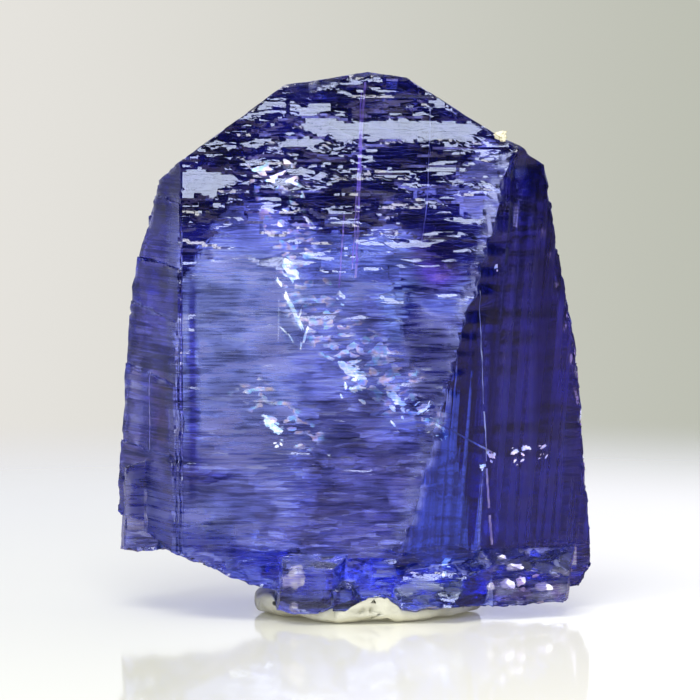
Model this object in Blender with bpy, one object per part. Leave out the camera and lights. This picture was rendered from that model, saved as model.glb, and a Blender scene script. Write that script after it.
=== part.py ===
"""A rough tanzanite crystal standing on a small putty pad.

The crystal is one solid. It is the union of convex blocks, each bounded by flat crystal faces: the main
prism in its growth storeys, and the small crystals grown on to its broken base. A face is given by a
point that it passes through, the compass direction of its outward normal (0 is +X, 90 is +Y) and the
lean of that normal above the horizontal. Lengths are in millimetres and become metres when built.
+Z is up and the wide front face looks towards -Y.
"""

import math
from typing import NamedTuple

import bmesh
import bpy
from mathutils import Vector

MM = 0.001

TIP_HEIGHT = 21.66
BASE_HEIGHT = 1.0
FRONT_Y = -4.2
BACK_Y = 4.1
LEFT_X = -9.22
RIGHT_X = 9.4
LOWEST_POINT = 0.5

ROOF_SLOPE_LEFT = 35.7
ROOF_SLOPE_RIGHT = 32.2
ROOF_FALL_LEFT = 6.0
ROOF_FALL_RIGHT = 4.6
ROOF_BEVEL = 0.2

STOREY_TOPS = (16.4, 14.1, 11.9, 9.3, 6.6)
STOREY_GROWTH = 0.05
SHELF_LEAN = 80.0

PAD_WIDTH = 9.0
PAD_DEPTH = 8.4
PAD_HEIGHT = 1.15
PAD_CENTRE = (0.3, -0.62)
PAD_SIDES = 56
CRYSTAL_GAP = 0.3
SEAT_SHARE = 0.7

CRUMB_AT = (5.45, -4.25)
CRUMB_SIZE = 0.4
CRUMB_GAP = 0.06

BLANK = 60.0


class Face(NamedTuple):
    """One flat crystal face: a point on it, the direction it looks in, and its lean above the horizontal."""

    through: tuple
    azimuth: float
    lean: float = 0.0
    grows: float = 1.0

    def normal(self):
        """Return the outward unit normal."""
        turn, tip = math.radians(self.azimuth), math.radians(self.lean)
        return Vector((math.cos(turn) * math.cos(tip), math.sin(turn) * math.cos(tip), math.sin(tip)))


def roof_face(through, slope, fall, towards):
    """Return a roof face that drops by slope degrees towards +X or -X, and by fall degrees to the back."""
    side = math.tan(math.radians(slope)) * towards
    back = math.tan(math.radians(fall))
    azimuth = math.degrees(math.atan2(back, side))
    return Face(through, azimuth, 90 - math.degrees(math.atan(math.hypot(side, back))), grows=0.0)


WALLS = (
    Face((2.9, FRONT_Y - 0.1, 6.0), 267.5, 1.0, grows=-1.0),
    Face((6.2, FRONT_Y + 0.1, 18.2), 297.6, -7.0, grows=-1.0),
    Face((RIGHT_X, -0.6, 3.2), 26.8, 9.5),
    Face((8.45, -2.0, 11.3), 24.0, 14.5),
    Face((3.1, BACK_Y, 3.2), 54.0, 9.0, grows=-1.0),
    Face((2.0, BACK_Y - 0.05, 4.0), 84.0, 5.0, grows=-1.0),
    Face((-3.0, BACK_Y, 4.0), 96.0, 4.0, grows=-1.0),
    Face((-4.0, BACK_Y - 0.1, 15.3), 99.0, 41.0, grows=-1.0),
    Face((2.5, BACK_Y - 0.1, 14.1), 82.0, 41.0, grows=-1.0),
    Face((LEFT_X, 1.0, 4.8), 148.3, 5.5),
    Face((-8.9, -0.1, 13.1), 145.8, 24.0),
    Face((-6.85, FRONT_Y + 0.3, 4.0), 208.2, 0.2),
)
ROOF = (
    roof_face((-2.84, FRONT_Y, 21.16), ROOF_SLOPE_LEFT, ROOF_FALL_LEFT, -1),
    roof_face((2.0, FRONT_Y, 21.34), ROOF_SLOPE_RIGHT, ROOF_FALL_RIGHT, 1),
    Face((0.4, FRONT_Y, TIP_HEIGHT), 150.0, 80.0, grows=0.0),
    Face((0.3, FRONT_Y, TIP_HEIGHT), 20.0, 80.5, grows=0.0),
    Face((2.0, FRONT_Y, 21.34 - ROOF_BEVEL), 299.6, 38.7, grows=0.0),
    Face((-1.6, FRONT_Y + 0.15, 21.0), 262.0, 42.0, grows=0.0),
)
UNDERSIDE = (
    Face((0.0, -1.0, BASE_HEIGHT), 265.0, -89.0, grows=0.3),
    Face((-4.4, -3.8, 1.64), 178.0, -67.4, grows=0.3),
    Face((8.6, -1.5, 1.0), 350.0, -30.0, grows=0.3),
    Face((-3.4, -3.8, 1.38), 200.0, -78.0, grows=0.3),
    Face((3.0, 1.6, 1.0), 80.0, -73.0, grows=0.3),
    Face((-5.0, 2.4, 2.0), 130.0, -60.0, grows=0.3),
)
LEFT_CORNER = (
    Face((-7.6, -1.5, 3.0), 268.0, 0.0),
    Face((LEFT_X - 0.26, 0.8, 3.2), 184.0, 2.0),
    Face((-7.2, 0.0, 2.5), 330.0, -15.0),
    Face((-8.4, 1.9, 3.0), 100.0, 6.0),
    Face((-8.4, -0.4, 2.5), 280.0, -84.0),
    Face((-8.4, 0.0, 6.0), 160.0, 70.0),
)
NUB = (
    Face((-1.8, -4.85, 1.6), 262.0, -4.0),
    Face((-3.05, -4.2, 1.6), 186.0, 4.0),
    Face((-0.55, -4.2, 1.6), 330.0, -6.0),
    Face((-2.0, -4.3, 2.6), 262.0, 62.0),
    Face((-1.4, -2.2, 1.6), 82.0, 0.0),
    Face((-2.3, -4.5, 0.5), 230.0, -52.0),
    Face((-1.2, -4.5, 0.55), 320.0, -56.0),
    Face((-1.8, -4.5, LOWEST_POINT), 270.0, -87.0),
)
WEDGE = (
    Face((-0.6, -4.65, 1.0), 285.0, -12.0),
    Face((-1.1, -4.0, 1.0), 190.0, 0.0),
    Face((0.05, -4.2, 1.2), 340.0, 24.0),
    Face((-0.5, -2.6, 1.0), 90.0, 0.0),
    Face((-0.6, -4.2, LOWEST_POINT + 0.04), 250.0, -88.0),
    Face((-0.6, -4.2, 1.75), 280.0, 60.0),
)
RIBBED = (
    Face((2.6, -4.3, 1.2), 272.0, 12.0),
    Face((1.15, -3.8, 0.9), 215.0, -18.0),
    Face((4.7, -3.6, 1.0), 312.0, -8.0),
    Face((2.6, -1.8, 1.0), 88.0, 0.0),
    Face((2.6, -3.6, LOWEST_POINT + 0.12), 270.0, -88.0),
    Face((2.6, -3.6, 2.2), 280.0, 72.0),
)
KNOBS = (
    Face((6.0, -3.1, 1.4), 288.0, 14.0),
    Face((4.75, -2.9, 1.4), 232.0, 10.0),
    Face((8.35, -2.1, 1.4), 352.0, -8.0),
    Face((6.2, -0.6, 1.4), 92.0, 0.0),
    Face((6.2, -2.4, LOWEST_POINT + 0.03), 284.0, -87.0),
    Face((6.2, -2.9, 2.05), 300.0, 52.0),
)


def linked(name, bm, material):
    """Turn the bmesh into a named object with the material, in metres, and return it."""
    bmesh.ops.scale(bm, vec=(MM, MM, MM), verts=bm.verts)
    bmesh.ops.recalc_face_normals(bm, faces=bm.faces)
    mesh = bpy.data.meshes.new(name)
    bm.to_mesh(mesh)
    bm.free()
    mesh.materials.append(material)
    made = bpy.data.objects.new(name, mesh)
    bpy.context.scene.collection.objects.link(made)
    return made


def principled(name, colour, roughness, transmission=0.0, ior=1.5):
    """Return a Principled material of the given linear colour."""
    material = bpy.data.materials.new(name)
    material.use_nodes = True
    shader = material.node_tree.nodes["Principled BSDF"]
    shader.inputs["Base Color"].default_value = (*colour, 1.0)
    shader.inputs["Roughness"].default_value = roughness
    shader.inputs["Transmission Weight"].default_value = transmission
    shader.inputs["IOR"].default_value = ior
    return material


def cut_to_faces(bm, faces, grow=0.0):
    """Cut the bmesh down to the side of every face that its normal points away from."""
    for face in faces:
        normal = face.normal()
        geometry = bm.verts[:] + bm.edges[:] + bm.faces[:]
        cut = bmesh.ops.bisect_plane(
            bm,
            geom=geometry,
            dist=1e-5,
            plane_co=Vector(face.through) + normal * grow * face.grows,
            plane_no=normal,
            clear_outer=True,
        )
        rim = [part for part in cut["geom_cut"] if isinstance(part, bmesh.types.BMEdge)]
        if rim:
            bmesh.ops.contextual_create(bm, geom=rim)


def block(name, faces, material, grow=0.0):
    """Return the convex block that the faces bound, as an object."""
    bm = bmesh.new()
    bmesh.ops.create_cube(bm, size=BLANK)
    cut_to_faces(bm, faces, grow)
    return linked(name, bm, material)


def join(target, part, operation="UNION"):
    """Join the part into the target with an exact Boolean, and remove the part."""
    modifier = target.modifiers.new(part.name, "BOOLEAN")
    modifier.operation = operation
    modifier.solver = "EXACT"
    modifier.object = part
    depsgraph = bpy.context.evaluated_depsgraph_get()
    joined = bpy.data.meshes.new_from_object(target.evaluated_get(depsgraph))
    target.modifiers.clear()
    old = target.data
    target.data = joined
    joined.name = old.name
    bpy.data.meshes.remove(old)
    bpy.data.objects.remove(part)


def storeys():
    """Return the face sets of the growth storeys, which stand out of the flanks only.

    Each lower storey is a little wider than the one above it and a little thinner than the prism.
    """
    made = []
    for count, top in enumerate(STOREY_TOPS, start=1):
        lean = SHELF_LEAN + 2.5 * (count % 3)
        azimuth = 262.0 + 9.0 * math.sin(2.1 * count)
        shelf = Face((0.0, FRONT_Y, top), azimuth, lean, grows=0.0)
        made.append((count * STOREY_GROWTH, WALLS + UNDERSIDE + (shelf,)))
    return made


def build_crystal(material):
    """Build the crystal: the prism, its storeys and the small crystals on its base, as one solid."""
    crystal = block("crystal", WALLS + ROOF + UNDERSIDE, material)
    for grow, faces in storeys():
        join(crystal, block("storey", faces, material, grow))
    for grown_on in (LEFT_CORNER, NUB, WEDGE, RIBBED, KNOBS):
        join(crystal, block("grown_on", grown_on, material))
    return crystal


def build_pad(material):
    """Build the putty pad: a flat disc with a rounded rim, hollowed where the crystal is pressed in."""
    bm = bmesh.new()
    rim = ((1.0, 0.0), (1.04, 0.12), (1.06, 0.3), (1.04, 0.55), (0.97, 0.82), (0.84, 1.0))
    widest = max(across for across, _ in rim)
    rings = []
    for across, up in rim:
        ring = []
        for side in range(PAD_SIDES):
            angle = 2 * math.pi * side / PAD_SIDES
            wander = 1.0 + 0.022 * math.sin(2 * angle + 0.8) + 0.014 * math.sin(3 * angle + 2.0)
            reach = across / widest * wander
            x = PAD_CENTRE[0] + PAD_WIDTH / 2 * reach * math.cos(angle)
            y = PAD_CENTRE[1] + PAD_DEPTH / 2 * reach * math.sin(angle)
            ring.append(bm.verts.new((x, y, PAD_HEIGHT * up)))
        rings.append(ring)
    for low, high in zip(rings, rings[1:]):
        for side in range(PAD_SIDES):
            after = (side + 1) % PAD_SIDES
            bm.faces.new((low[side], low[after], high[after], high[side]))
    bm.faces.new(rings[0][::-1])
    bm.faces.new(rings[-1])
    pad = linked("putty_pad", bm, material)
    room = CRYSTAL_GAP + len(STOREY_TOPS) * STOREY_GROWTH
    sides = tuple(face._replace(grows=1.0) for face in WALLS)
    underside = tuple(face._replace(grows=SEAT_SHARE) for face in UNDERSIDE)
    join(pad, block("press", sides + underside, material, room), "DIFFERENCE")
    for grown_on in (LEFT_CORNER, NUB, WEDGE, RIBBED, KNOBS):
        join(pad, block("press", grown_on, material, CRYSTAL_GAP), "DIFFERENCE")
    return pad


def build_crumb(material):
    """Build the crumb of host rock, a small chipped lump just clear of the bevel on the roof's right edge."""
    slope = ROOF[4]
    normal = slope.normal()
    x, y = CRUMB_AT
    start = Vector(slope.through)
    height = start.z - (normal.x * (x - start.x) + normal.y * (y - start.y)) / normal.z
    bm = bmesh.new()
    bmesh.ops.create_icosphere(bm, subdivisions=2, radius=CRUMB_SIZE / 2)
    for vert in bm.verts:
        vert.co *= 1.0 + 0.16 * math.sin(5.3 * vert.co.x / CRUMB_SIZE + 9.0 * vert.co.y / CRUMB_SIZE)
        vert.co.x *= 1.25
    lift = CRUMB_SIZE * 0.66 + CRUMB_GAP
    bmesh.ops.translate(bm, vec=Vector((x, y, height)) + normal * lift, verts=bm.verts)
    return linked("matrix_crumb", bm, material)


def stand_on_origin(pieces):
    """Move the finished meshes so that the origin is under the middle of their common box."""
    corners = [vert.co for piece in pieces for vert in piece.data.vertices]
    low = Vector([min(corner[axis] for corner in corners) for axis in range(3)])
    high = Vector([max(corner[axis] for corner in corners) for axis in range(3)])
    shift = Vector((-(low.x + high.x) / 2, -(low.y + high.y) / 2, -low.z))
    for piece in pieces:
        for vert in piece.data.vertices:
            vert.co += shift


def main():
    """Clear the scene and build the crystal, its pad and the crumb."""
    for old in list(bpy.data.objects):
        bpy.data.objects.remove(old)
    tanzanite = principled("tanzanite", (0.09, 0.085, 0.62), 0.06, transmission=1.0, ior=1.7)
    putty = principled("white_putty", (0.84, 0.84, 0.73), 0.75)
    rock = principled("cream_rock", (0.8, 0.72, 0.5), 0.85)
    pieces = [build_crystal(tanzanite), build_pad(putty), build_crumb(rock)]
    stand_on_origin(pieces)


main()
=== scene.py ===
"""Looks of a rough tanzanite crystal that stands on a small pad of white putty.

The crystal's fine surface is made from a copy of its plain solid: the faces are sliced into small cells,
which then take the growth steps, the striations, the chipped edges and the broken base. What is sealed in
the stone is modelled inside it. Lengths are in metres unless a name says mm.
"""

import logging
import math
from dataclasses import dataclass, field
from enum import Enum
from functools import partial
from typing import NamedTuple

import bmesh
import bpy
from mathutils import Matrix, Vector, noise
from mathutils.bvhtree import BVHTree


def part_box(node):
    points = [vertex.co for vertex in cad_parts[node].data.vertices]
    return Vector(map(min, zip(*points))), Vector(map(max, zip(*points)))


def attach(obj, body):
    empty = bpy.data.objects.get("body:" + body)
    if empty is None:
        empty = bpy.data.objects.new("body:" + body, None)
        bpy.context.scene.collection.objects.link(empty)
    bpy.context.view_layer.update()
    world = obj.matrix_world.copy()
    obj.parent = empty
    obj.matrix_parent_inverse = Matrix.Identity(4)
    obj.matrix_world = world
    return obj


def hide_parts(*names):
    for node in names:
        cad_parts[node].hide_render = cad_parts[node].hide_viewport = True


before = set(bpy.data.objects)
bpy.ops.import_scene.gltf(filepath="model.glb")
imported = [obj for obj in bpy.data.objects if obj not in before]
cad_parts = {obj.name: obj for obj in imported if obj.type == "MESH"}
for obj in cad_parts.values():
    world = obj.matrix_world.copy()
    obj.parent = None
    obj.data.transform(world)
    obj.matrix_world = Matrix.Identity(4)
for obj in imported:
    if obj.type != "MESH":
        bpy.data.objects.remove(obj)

MM = 0.001
LOG = logging.getLogger("tanzanite")
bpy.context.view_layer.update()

DEPTH_SHARE = 0.7  # how much a step in depth counts along a wall's flat coordinates

Triple = tuple[float, float, float]
Colour = Triple


def link_object(name: str, bm: bmesh.types.BMesh, smooth: bool = True) -> bpy.types.Object:
    """Turn a bmesh into a linked object and free the bmesh.

    Args:
        name: the object's name.
        bm: the finished shape.
        smooth: whether its faces are shaded smooth.

    Returns:
        The new object, at the origin.
    """
    for face in bm.faces:
        face.smooth = smooth
    mesh = bpy.data.meshes.new(name)
    bm.to_mesh(mesh)
    bm.free()
    made = bpy.data.objects.new(name, mesh)
    bpy.context.scene.collection.objects.link(made)
    return made


class Zone(Enum):
    """The surface zones of the crystal, told apart by the way they face."""

    FRONT = "front"
    RIGHT = "right"
    LEFT = "left"
    BACK = "back"
    ROOF = "roof"
    BASE = "base"


def zone_of(normal: Vector) -> Zone:
    """Return the zone that a point with this outward normal belongs to.

    Args:
        normal: the unit normal before any relief.

    Returns:
        The surface zone.
    """
    if normal.z > 0.45:
        return Zone.ROOF
    if normal.z < -0.3:
        return Zone.BASE
    if normal.y > 0.3:
        return Zone.BACK
    if normal.x < -0.3:
        return Zone.LEFT
    if normal.x > 0.2:
        return Zone.RIGHT
    return Zone.FRONT


def eased(value: float, low: float, high: float) -> float:
    """Return 0 below low, 1 above high and a smooth rise between; low may be the larger."""
    share = min(1.0, max(0.0, (value - low) / (high - low)))
    return share * share * (3.0 - 2.0 * share)


def ridge_x(z: float) -> float:
    """Return where the ridge between the front and the right face runs, in millimetres, at this height."""
    return 1.15 + 0.279 * z


class Facet(NamedTuple):
    """A smooth facet in the stepped front: its middle, its half size and how far it leans back."""

    x: float
    z: float
    half_x: float
    half_z: float
    lean_deg: float

    def inside(self, x: float, z: float) -> float:
        """Return how far inside the facet a place is.

        Args:
            x: the place across, in millimetres.
            z: the place up, in millimetres.

        Returns:
            0 outside, 1 inside, and a ragged rise between.
        """
        ragged = noise.fractal(Vector((x * 1.3, 4.0, z * 3.0)), 0.9, 2.1, 3)
        across = (self.half_x - abs(x - self.x)) / 0.14 + 3.5 * ragged
        up = (self.half_z - abs(z - self.z)) / 0.09 + 2.6 * ragged
        return min(1.0, max(0.0, min(across, up)))


class Scoop(NamedTuple):
    """A shell-shaped chip: its middle, radius and depth."""

    middle: Triple
    radius: float
    depth: float

    def cut(self, place: Vector) -> float:
        """Return the chip's depth at a place, with faint rings around its middle.

        Args:
            place: the place in millimetres.

        Returns:
            The depth in millimetres.
        """
        away = (place - Vector(self.middle)).length / self.radius
        if away >= 1.0:
            return 0.0
        rings = 0.1 * math.sin(away * 17.0) * away
        return self.depth * (1.0 - away * away + rings) * eased(away, 1.0, 0.86)


class Patch(NamedTuple):
    """A patch of the surface with its own tint, a few of them painted sheen and highlights: its middle, its
    half size and how silky it is.
    """

    x: float
    z: float
    half_x: float
    half_z: float
    tint: Colour
    silk: float = 0.0

    def share(self, x: float, z: float) -> float:
        """Return how much of the patch shows at a place, with an edge drawn out along the growth lines.

        Args:
            x: the place across, in millimetres.
            z: the place up, in millimetres.

        Returns:
            The share, from 0 to 1.
        """
        wander = min(1.0, self.half_x / 2.5)
        broad = noise.noise(Vector((x * 0.45, 11.0, z * 1.5)))
        fine = noise.noise(Vector((x * 1.4, 17.0, z * 6.0)))
        x += wander * (0.9 * broad + 0.3 * fine)
        z += 0.6 * wander * noise.noise(Vector((x * 0.3, 23.0, z * 1.1)))
        away = math.hypot((x - self.x) / self.half_x, (z - self.z) / self.half_z)
        return eased(away, 1.2, 0.72)


class Band(NamedTuple):
    """An upright band of tint: its middle, its half width and the heights that it runs between."""

    x: float
    half: float
    low: float
    high: float
    tint: Colour

    def share(self, x: float, z: float) -> float:
        """Return how much of the band shows at a place."""
        ends = eased(z, self.low - 0.6, self.low + 0.6) * eased(z, self.high + 0.6, self.high - 0.6)
        return eased(abs(x - self.x), self.half * 1.3, self.half * 0.6) * ends


@dataclass
class CrystalMesh:
    """The crystal's fine surface.

    Sizes are in millimetres. The cell sizes set how finely each family of faces is sliced, and the relief
    sizes how far steps, grooves and chips stand off the plain faces.
    """

    column_mm: float = 0.15
    row_mm: float = 0.1
    depth_mm: float = 0.24
    step_mm: float = 0.035
    groove_mm: float = 0.05
    base_ragged_mm: float = 0.2
    chip_mm: float = 0.16
    ridge_wander_mm: float = 0.32
    crisp_deg: float = 26.0
    front_crisp_deg: float = 9.0
    facets: tuple[Facet, ...] = (
        Facet(-5.9, 17.25, 1.3, 0.62, 9.5),
        Facet(1.5, 19.35, 3.5, 0.5, 8.5),
        Facet(3.0, 20.4, 0.75, 0.22, 8.0),
        Facet(-1.9, 18.9, 1.1, 0.3, 7.0),
        Facet(-6.9, 16.1, 0.5, 0.34, 5.0),
        Facet(4.6, 17.3, 1.0, 0.16, 9.0),
        Facet(0.6, 17.6, 1.6, 0.14, 8.0),
        Facet(-2.6, 17.3, 1.0, 0.18, 7.0),
        Facet(2.2, 16.5, 1.2, 0.13, 9.0),
        Facet(-0.8, 16.2, 0.9, 0.12, 8.0),
    )
    scoops: tuple[Scoop, ...] = (
        Scoop((-2.9, -4.6, 21.3), 1.15, 0.34),
        Scoop((-1.7, -4.7, 21.6), 1.0, 0.3),
        Scoop((-0.7, -4.6, 21.9), 0.8, 0.22),
        Scoop((1.5, -4.5, 21.8), 0.7, 0.2),
        Scoop((-3.7, -4.5, 20.7), 0.6, 0.16),
        Scoop((6.7, -4.0, 17.9), 0.7, 0.2),
        Scoop((4.9, -4.6, 13.4), 0.6, 0.14),
        Scoop((3.9, -4.6, 9.3), 0.7, 0.16),
        Scoop((-7.6, -3.9, 17.4), 0.7, 0.16),
        Scoop((9.3, -1.0, 1.7), 0.9, 0.22),
        Scoop((7.6, -3.0, 0.7), 0.8, 0.24),
        Scoop((-5.9, -4.0, 1.9), 1.0, 0.2),
        Scoop((-2.1, -4.9, 2.5), 0.6, 0.14),
        Scoop((2.8, -4.6, 0.7), 0.9, 0.16),
        Scoop((-3.0, 3.8, 1.6), 1.4, 0.3),
        Scoop((5.0, 3.0, 18.0), 1.2, 0.24),
    )
    front_patches: tuple[Patch, ...] = (
        # painted sheen: the pale mid-left patch stands in for broad light mirrored by its hazy steps; the
        # haze itself is real
        Patch(-4.1, 10.4, 3.1, 4.5, (0.64, 0.8, 1.0), 0.65),
        Patch(-4.6, 4.6, 2.2, 2.2, (0.42, 0.48, 0.85), 0.45),
        Patch(-0.4, 9.3, 2.2, 4.0, (0.34, 0.38, 0.72), 0.3),
        Patch(0.2, 14.4, 2.3, 0.9, (0.16, 0.22, 0.55), 0.0),
        Patch(2.2, 12.2, 1.2, 1.3, (0.22, 0.34, 0.6), 0.1),
        Patch(3.2, 14.3, 1.0, 1.5, (0.1, 0.06, 0.45), 0.1),
        Patch(3.2, 13.9, 0.5, 0.55, (0.25, 0.08, 1.0), 0.3),
        Patch(0.8, 5.2, 2.6, 2.4, (0.24, 0.23, 0.5), 0.2),
        Patch(-1.3, 3.2, 2.3, 1.2, (0.27, 0.27, 0.55), 0.1),
        Patch(-5.6, 5.9, 1.2, 0.22, (0.1, 0.11, 0.6), 0.0),
        Patch(-6.3, 9.2, 0.24, 5.0, (0.05, 0.05, 0.34), 0.1),
        Patch(2.9, 10.8, 1.0, 2.1, (0.62, 0.62, 1.0), 0.65),
        # painted highlights: the next two pale patches, low on the left, stand in for light glinting off
        # mirroring facets
        Patch(-8.7, 5.2, 0.9, 1.9, (0.6, 0.66, 1.0), 0.8),
        Patch(-5.9, 3.2, 1.3, 1.6, (0.6, 0.72, 1.0), 0.6),
        Patch(-0.6, 13.0, 1.2, 0.8, (0.45, 0.55, 0.95), 0.4),
        Patch(3.3, 12.6, 0.8, 0.35, (0.12, 0.16, 0.55), 0.1),
        Patch(-2.1, 21.2, 1.4, 0.55, (0.7, 0.7, 0.9), 0.5),
    )
    base_patches: tuple[Patch, ...] = (
        Patch(-1.85, 1.4, 1.2, 1.1, (0.9, 0.9, 1.0), 0.7),
        Patch(-0.9, 1.3, 0.25, 0.9, (0.2, 0.2, 0.5), 0.2),
        Patch(-2.2, 2.55, 0.8, 0.14, (0.95, 0.95, 1.0), 0.9),
        Patch(-0.5, 0.85, 0.4, 0.5, (0.6, 0.75, 0.72), 0.5),
        Patch(2.6, 1.35, 0.85, 0.5, (0.8, 1.0, 0.95), 0.7),
        Patch(3.9, 1.4, 0.35, 0.4, (0.6, 0.9, 0.85), 0.7),
        Patch(5.4, 1.33, 0.16, 0.16, (0.95, 0.93, 1.0), 0.9),
        Patch(5.85, 2.35, 0.2, 0.16, (0.9, 0.88, 1.0), 0.9),
        Patch(6.35, 2.05, 0.42, 0.2, (0.92, 0.88, 1.0), 0.9),
        Patch(6.1, 1.3, 0.38, 0.32, (0.95, 0.93, 1.0), 0.9),
        Patch(7.5, 1.2, 0.42, 0.22, (0.95, 0.93, 1.0), 0.9),
        Patch(8.4, 1.3, 0.2, 0.3, (0.8, 0.78, 0.95), 0.7),
    )
    right_bands: tuple[Band, ...] = (
        Band(6.1, 0.5, 2.5, 17.5, (0.75, 0.55, 0.8)),
        Band(6.75, 0.14, 2.5, 14.0, (0.35, 0.2, 0.6)),
        Band(7.45, 0.36, 6.5, 14.5, (0.06, 0.02, 0.16)),
        # painted glint: this purple-blue band stands in for light mirrored by the right face
        Band(8.2, 0.3, 8.7, 12.6, (0.5, 0.25, 1.0)),
        Band(7.0, 0.12, 2.5, 16.0, (0.8, 0.55, 0.9)),
        Band(8.5, 0.2, 1.5, 8.0, (0.75, 0.6, 0.95)),
        Band(5.1, 0.12, 2.5, 12.0, (0.35, 0.45, 1.0)),
    )
    plain_tint: Colour = (0.8, 0.82, 0.97)
    base_tint: Colour = (0.3, 0.3, 0.78)
    frost_tint: Colour = (0.82, 0.9, 1.0)
    front_tint: Colour = (0.24, 0.28, 0.8)
    # painted shade: the top of the front is tinted dark navy for the dim light that comes out there
    painted_shade_top_tint: Colour = (0.09, 0.09, 0.32)
    left_tint: Colour = (0.3, 0.28, 0.88)
    left_upper_tint: Colour = (0.11, 0.08, 0.55)
    left_lower_tint: Colour = (0.5, 0.55, 1.0)
    stripe_x: float = -7.05
    stripe_tint: Colour = (0.75, 0.78, 1.0)
    maroon_x: float = -7.65
    maroon_z: float = 8.3
    maroon_tint: Colour = (0.22, 0.06, 0.2)
    right_tint: Colour = (0.02, 0.045, 0.42)
    outer_tint: Colour = (0.32, 0.17, 0.56)
    wedge_tint: Colour = (0.012, 0.03, 0.2)
    outer_lower_tint: Colour = (0.75, 0.55, 0.95)
    wedge_edge_x: float = 4.9
    grown_blocks_top: float = 3.2

    def build(self) -> bpy.types.Object:
        """Slice a copy of the plain crystal, give it its relief and paint its zones.

        Returns:
            The finished crystal object.
        """
        bm = bmesh.new()
        bm.from_mesh(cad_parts["crystal"].data)
        bmesh.ops.remove_doubles(bm, verts=bm.verts, dist=0.002 * MM)
        bmesh.ops.dissolve_limit(bm, angle_limit=math.radians(0.6), verts=bm.verts, edges=bm.edges)
        self._slice_all(bm)
        self._relieve(bm)
        self._sharpen(bm)
        return link_object("tanzanite_crystal", bm)

    def _sharpen(self, bm: bmesh.types.BMesh) -> None:
        """Mark the folds that keep a crisp edge, which on the front are slighter than elsewhere."""
        bm.normal_update()
        for edge in bm.edges:
            front = all(face.normal.y < -0.9 for face in edge.link_faces)
            limit = math.radians(self.front_crisp_deg if front else self.crisp_deg)
            edge.smooth = abs(edge.calc_face_angle_signed(0.0)) < limit

    def _slice_all(self, bm: bmesh.types.BMesh) -> None:
        """Slice the walls into rows and columns, and the roof and base into a grid."""
        low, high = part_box("crystal")
        walls = [face for face in bm.faces if abs(face.normal.z) < 0.45]
        caps = [face for face in bm.faces if abs(face.normal.z) >= 0.45]
        front = [face for face in walls if face.normal.y <= -0.5]
        back = [face for face in walls if face.normal.y >= 0.5]
        narrow = [face for face in walls if abs(face.normal.y) < 0.5]
        front = self._slice(bm, front, 0, low.x, high.x, self.column_mm)
        back = self._slice(bm, back, 0, low.x, high.x, self.column_mm * 1.6)
        narrow = self._slice(bm, narrow, 1, low.y, high.y, self.depth_mm)
        self._slice(bm, front, 2, low.z, high.z, self.row_mm)
        self._slice(bm, back + narrow, 2, low.z, high.z, self.row_mm * 1.6)
        caps = self._slice(bm, caps, 0, low.x, high.x, self.column_mm * 1.2)
        self._slice(bm, caps, 1, low.y, high.y, self.depth_mm)

    def _slice(
        self, bm: bmesh.types.BMesh, faces: list[bmesh.types.BMFace], axis: int, low: float, high: float,
        cell_mm: float,
    ) -> list[bmesh.types.BMFace]:
        """Cut faces by parallel planes across an axis.

        Args:
            bm: the mesh.
            faces: the faces to cut.
            axis: 0, 1 or 2 for planes across X, Y or Z.
            low: where the first cell starts.
            high: where the last cell ends.
            cell_mm: the distance between planes.

        Returns:
            All the faces that the given ones became.
        """
        across = Vector([float(axis == other) for other in range(3)])
        count = int((high - low) / (cell_mm * MM))
        done: list[bmesh.types.BMFace] = []
        rest = faces
        for cut in range(1, count):
            at = low + (high - low) * cut / count
            edges = {edge for face in rest for edge in face.edges}
            verts = {vert for face in rest for vert in face.verts}
            found = bmesh.ops.bisect_plane(
                bm, geom=[*verts, *edges, *rest], dist=1e-7, plane_co=across * at, plane_no=across
            )
            below, rest = [], []
            for part in found["geom"]:
                if isinstance(part, bmesh.types.BMFace):
                    reach = max(vert.co[axis] for vert in part.verts)
                    (rest if reach > at + 1e-7 else below).append(part)
            done += below
        return done + rest

    def _relieve(self, bm: bmesh.types.BMesh) -> None:
        """Move every vertex by the relief of its zone, and store its tint and finish on it."""
        bm.normal_update()
        tint_layer = bm.verts.layers.float_color.new("tint")
        finish_layer = bm.verts.layers.float_color.new("finish")
        edge_turn = {vert: self._turn_at(vert) for vert in bm.verts}
        moves = []
        for vert in bm.verts:
            place = vert.co / MM
            zone = zone_of(vert.normal)
            worn = min(1.0, edge_turn[vert] / 0.6)
            height = self._height(place, zone)
            chip = self._chip(place) * worn + sum(scoop.cut(place) for scoop in self.scoops)
            shift = vert.normal * (height - chip)
            shift.x += self._ridge_shift(place, vert.normal)
            moves.append((vert, shift * MM))
            vert[tint_layer], vert[finish_layer] = self._paint(place, zone, worn, chip)
        for vert, move in moves:
            vert.co += move

    @staticmethod
    def _turn_at(vert: bmesh.types.BMVert) -> float:
        """Return the sharpest fold, in radians, among the edges at a vertex."""
        return max((abs(edge.calc_face_angle_signed(0.0)) for edge in vert.link_edges), default=0.0)

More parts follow.
